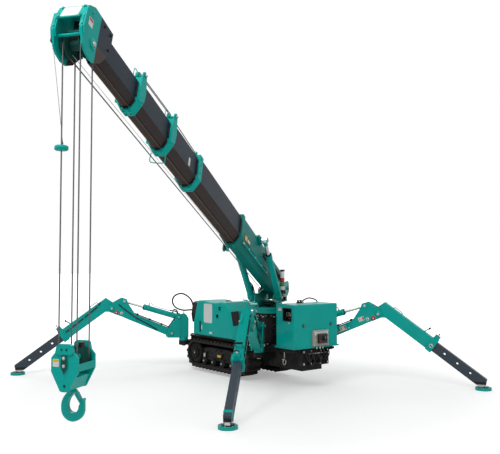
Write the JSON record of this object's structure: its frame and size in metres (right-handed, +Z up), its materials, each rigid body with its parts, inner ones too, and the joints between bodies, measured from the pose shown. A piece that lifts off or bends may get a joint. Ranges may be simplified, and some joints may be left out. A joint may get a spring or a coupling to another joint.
{
  "type": "crawler crane with outriggers",
  "caption": "Compact crawler crane on four folding outriggers, slewing post, telescopic boom with collars, head sheaves, rope falls and hook block.",
  "frame": {"origin": "centre of the bounding box on the ground under the outrigger pads", "axes": "+X the machine's right, +Y towards its engine end (tail), +Z up"},
  "size_m": [6.1802, 5.1272, 2.798],
  "materials": {
    "teal_paint": "satin teal enamel",
    "slate_paint": "satin slate enamel",
    "black_paint": "satin black paint",
    "rubber": "moulded rubber",
    "chrome": "polished",
    "rope_steel": "greased wire",
    "grey_panel": "satin grey",
    "sheave": "cast nylon",
    "lamp": "stacked lens"
  },
  "bodies": {
    "chassis": {"chassis_frame": "teal_paint", "slewing_column": "teal_paint", "track_frames": "black_paint", "track_left": "rubber", "track_right": "rubber", "engine_cover": "teal_paint", "tank_cover": "teal_paint", "engine_and_radiator": "black_paint", "console_housing": "teal_paint", "control_panel": "grey_panel", "towing_lugs": "teal_paint"},
    "upper": {"slewing_post": "teal_paint", "hoist_winch": "black_paint", "signal_lamp": "lamp"},
    "boom_1": {"boom_section_1": "teal_paint"},
    "boom_2": {"boom_section_2": "slate_paint"},
    "boom_3": {"boom_section_3": "slate_paint"},
    "boom_4": {"boom_section_4": "slate_paint"},
    "boom_5": {"boom_section_5": "slate_paint", "boom_head": "teal_paint", "head_sheaves": "sheave"},
    "ram_barrels": {"derrick_ram_barrels": "teal_paint"},
    "ram_rods": {"derrick_ram_rods": "chrome"},
    "falls": {"hoist_rope_falls": "rope_steel"},
    "block": {"hook_block": "teal_paint", "block_sheaves": "sheave"},
    "hook": {"hook": "teal_paint"},
    "near_left_bracket": {"outrigger_near_left_bracket": "teal_paint"},
    "near_left_arm": {"outrigger_near_left_arm": "teal_paint"},
    "near_left_barrel": {"outrigger_near_left_ram_barrel": "teal_paint"},
    "near_left_rod": {"outrigger_near_left_ram_rod": "chrome"},
    "near_left_outer": {"outrigger_near_left_outer_box": "teal_paint"},
    "near_left_stay": {"outrigger_near_left_stay_and_pad": "slate_paint"},
    "near_right_bracket": {"outrigger_near_right_bracket": "teal_paint"},
    "near_right_arm": {"outrigger_near_right_arm": "teal_paint"},
    "near_right_barrel": {"outrigger_near_right_ram_barrel": "teal_paint"},
    "near_right_rod": {"outrigger_near_right_ram_rod": "chrome"},
    "near_right_outer": {"outrigger_near_right_outer_box": "teal_paint"},
    "near_right_stay": {"outrigger_near_right_stay_and_pad": "slate_paint"},
    "far_left_bracket": {"outrigger_far_left_bracket": "teal_paint"},
    "far_left_arm": {"outrigger_far_left_arm": "teal_paint"},
    "far_left_barrel": {"outrigger_far_left_ram_barrel": "teal_paint"},
    "far_left_rod": {"outrigger_far_left_ram_rod": "chrome"},
    "far_left_outer": {"outrigger_far_left_outer_box": "teal_paint"},
    "far_left_stay": {"outrigger_far_left_stay_and_pad": "slate_paint"},
    "far_right_bracket": {"outrigger_far_right_bracket": "teal_paint"},
    "far_right_arm": {"outrigger_far_right_arm": "teal_paint"},
    "far_right_barrel": {"outrigger_far_right_ram_barrel": "teal_paint"},
    "far_right_rod": {"outrigger_far_right_ram_rod": "chrome"},
    "far_right_outer": {"outrigger_far_right_outer_box": "teal_paint"},
    "far_right_stay": {"outrigger_far_right_stay_and_pad": "slate_paint"}
  },
  "joints": [
    {"name": "slew", "type": "hinge", "parent": "chassis", "child": "upper", "pos_m": [0.748, 0.352, 0.82], "axis": [0, 0, 1], "continuous": true},
    {"name": "luff", "type": "hinge", "parent": "upper", "child": "boom_1", "pos_m": [0.95752, 0.50931, 1.022], "axis": [-0.6004, 0.7997, 0], "range_deg": [-18, 60]},
    {"name": "ram_barrel_turn", "type": "hinge", "parent": "upper", "child": "ram_barrels", "pos_m": [0.54808, 0.20189, 0.97], "axis": [-0.6004, 0.7997, 0], "range_deg": [-20.21, 67.25]},
    {"name": "ram_rod_slide", "type": "slide", "parent": "ram_barrels", "child": "ram_rods", "axis": [-0.5867, -0.4405, 0.6795], "range_m": [-0.1356, 0.4508]},
    {"name": "tele_2", "type": "slide", "parent": "boom_1", "child": "boom_2", "axis": [-0.7603, -0.5709, 0.3098], "range_m": [-1.2, 0.28]},
    {"name": "tele_3", "type": "slide", "parent": "boom_2", "child": "boom_3", "axis": [-0.7603, -0.5709, 0.3098], "range_m": [-0.44, 0.95]},
    {"name": "tele_4", "type": "slide", "parent": "boom_3", "child": "boom_4", "axis": [-0.7603, -0.5709, 0.3098], "range_m": [-0.44, 0.95]},
    {"name": "tele_5", "type": "slide", "parent": "boom_4", "child": "boom_5", "axis": [-0.7603, -0.5709, 0.3098], "range_m": [-0.44, 0.95]},
    {"name": "falls_hang", "type": "hinge", "parent": "boom_5", "child": "falls", "pos_m": [-2.94046, -2.41737, 2.57055], "axis": [-0.6004, 0.7997, 0], "range_deg": [-60.05, 18.05]},
    {"name": "hoist", "type": "slide", "parent": "falls", "child": "block", "axis": [0, 0, -1], "range_m": [-1, 0.5], "deforming": ["hoist_rope_falls"]},
    {"name": "hook_swivel", "type": "hinge", "parent": "block", "child": "hook", "pos_m": [-2.94046, -2.41737, 0.717], "axis": [0, 0, 1], "continuous": true},
    {"name": "near_left_swing", "type": "hinge", "parent": "chassis", "child": "near_left_bracket", "pos_m": [0.42, 0.152, 0.36], "axis": [0, 0, 1], "range_deg": [-28.6, 16.4]},
    {"name": "near_left_lift", "type": "hinge", "parent": "near_left_bracket", "child": "near_left_arm", "pos_m": [0.29979, 0.03752, 0.456], "axis": [-0.6896, 0.7242, 0], "range_deg": [0, 35]},
    {"name": "near_left_barrel_turn", "type": "hinge", "parent": "near_left_bracket", "child": "near_left_barrel", "pos_m": [0.36569, 0.10028, 0.66], "axis": [-0.6896, 0.7242, 0], "range_deg": [-0.05, 36.8]},
    {"name": "near_left_rod_slide", "type": "slide", "parent": "near_left_barrel", "child": "near_left_rod", "axis": [-0.6917, -0.6587, 0.2961], "range_m": [-0.1349, 0.0005]},
    {"name": "near_left_knee", "type": "hinge", "parent": "near_left_arm", "child": "near_left_outer", "pos_m": [-0.25493, -0.49073, 0.788], "axis": [0.6896, -0.7242, 0], "range_deg": [0, 105]},
    {"name": "near_left_extend", "type": "slide", "parent": "near_left_outer", "child": "near_left_stay", "axis": [0.5859, 0.5579, 0.5878], "range_m": [0, 0.45]},
    {"name": "near_right_swing", "type": "hinge", "parent": "chassis", "child": "near_right_bracket", "pos_m": [1.076, 0.152, 0.36], "axis": [0, 0, -1], "range_deg": [-45.2, 0]},
    {"name": "near_right_lift", "type": "hinge", "parent": "near_right_bracket", "child": "near_right_arm", "pos_m": [1.1585, 0.00795, 0.456], "axis": [-0.8678, -0.497, 0], "range_deg": [0, 35]},
    {"name": "near_right_barrel_turn", "type": "hinge", "parent": "near_right_bracket", "child": "near_right_barrel", "pos_m": [1.11327, 0.08692, 0.66], "axis": [-0.8678, -0.497, 0], "range_deg": [-0.05, 36.8]},
    {"name": "near_right_rod_slide", "type": "slide", "parent": "near_right_barrel", "child": "near_right_rod", "axis": [0.4747, -0.8289, 0.2961], "range_m": [-0.1349, 0.0005]},
    {"name": "near_right_knee", "type": "hinge", "parent": "near_right_arm", "child": "near_right_outer", "pos_m": [1.53918, -0.65676, 0.788], "axis": [0.8678, 0.497, 0], "range_deg": [0, 105]},
    {"name": "near_right_extend", "type": "slide", "parent": "near_right_outer", "child": "near_right_stay", "axis": [-0.4021, 0.702, 0.5878], "range_m": [0, 0.45]},
    {"name": "far_left_swing", "type": "hinge", "parent": "chassis", "child": "far_left_bracket", "pos_m": [0.386, 1.68, 0.36], "axis": [0, 0, -1], "range_deg": [-7.8, 37.2]},
    {"name": "far_left_lift", "type": "hinge", "parent": "far_left_bracket", "child": "far_left_arm", "pos_m": [0.23297, 1.74433, 0.456], "axis": [0.3875, 0.9219, 0], "range_deg": [0, 35]},
    {"name": "far_left_barrel_turn", "type": "hinge", "parent": "far_left_bracket", "child": "far_left_barrel", "pos_m": [0.31686, 1.70906, 0.66], "axis": [0.3875, 0.9219, 0], "range_deg": [-0.05, 36.8]},
    {"name": "far_left_rod_slide", "type": "slide", "parent": "far_left_barrel", "child": "far_left_rod", "axis": [-0.8805, 0.3701, 0.2961], "range_m": [-0.1349, 0.0005]},
    {"name": "far_left_knee", "type": "hinge", "parent": "far_left_arm", "child": "far_left_outer", "pos_m": [-0.47318, 2.04116, 0.788], "axis": [-0.3875, -0.9219, 0], "range_deg": [0, 105]},
    {"name": "far_left_extend", "type": "slide", "parent": "far_left_outer", "child": "far_left_stay", "axis": [0.7458, -0.3135, 0.5878], "range_m": [0, 0.45]},
    {"name": "far_right_swing", "type": "hinge", "parent": "chassis", "child": "far_right_bracket", "pos_m": [1.11, 1.68, 0.36], "axis": [0, 0, 1], "range_deg": [-7.8, 37.2]},
    {"name": "far_right_lift", "type": "hinge", "parent": "far_right_bracket", "child": "far_right_arm", "pos_m": [1.26303, 1.74433, 0.456], "axis": [0.3875, -0.9219, 0], "range_deg": [0, 35]},
    {"name": "far_right_barrel_turn", "type": "hinge", "parent": "far_right_bracket", "child": "far_right_barrel", "pos_m": [1.17914, 1.70906, 0.66], "axis": [0.3875, -0.9219, 0], "range_deg": [-0.05, 36.8]},
    {"name": "far_right_rod_slide", "type": "slide", "parent": "far_right_barrel", "child": "far_right_rod", "axis": [0.8805, 0.3701, 0.2961], "range_m": [-0.1349, 0.0005]},
    {"name": "far_right_knee", "type": "hinge", "parent": "far_right_arm", "child": "far_right_outer", "pos_m": [1.96918, 2.04116, 0.788], "axis": [-0.3875, 0.9219, 0], "range_deg": [0, 105]},
    {"name": "far_right_extend", "type": "slide", "parent": "far_right_outer", "child": "far_right_stay", "axis": [-0.7458, -0.3135, 0.5878], "range_m": [0, 0.45]}
  ],
  "couplings": [
    {"joint": "ram_barrel_turn", "follows": "luff", "ratio": 1.12},
    {"joint": "ram_rod_slide", "follows": "luff", "m_per_rad": 0.43},
    {"joint": "tele_4", "follows": "tele_3", "ratio": 1},
    {"joint": "tele_5", "follows": "tele_3", "ratio": 1},
    {"joint": "falls_hang", "follows": "luff", "ratio": -1},
    {"joint": "near_left_barrel_turn", "follows": "near_left_lift", "ratio": 1.05},
    {"joint": "near_left_rod_slide", "follows": "near_left_lift", "m_per_rad": -0.22},
    {"joint": "near_right_barrel_turn", "follows": "near_right_lift", "ratio": 1.05},
    {"joint": "near_right_rod_slide", "follows": "near_right_lift", "m_per_rad": -0.22},
    {"joint": "far_left_barrel_turn", "follows": "far_left_lift", "ratio": 1.05},
    {"joint": "far_left_rod_slide", "follows": "far_left_lift", "m_per_rad": -0.22},
    {"joint": "far_right_barrel_turn", "follows": "far_right_lift", "ratio": 1.05},
    {"joint": "far_right_rod_slide", "follows": "far_right_lift", "m_per_rad": -0.22}
  ]
}
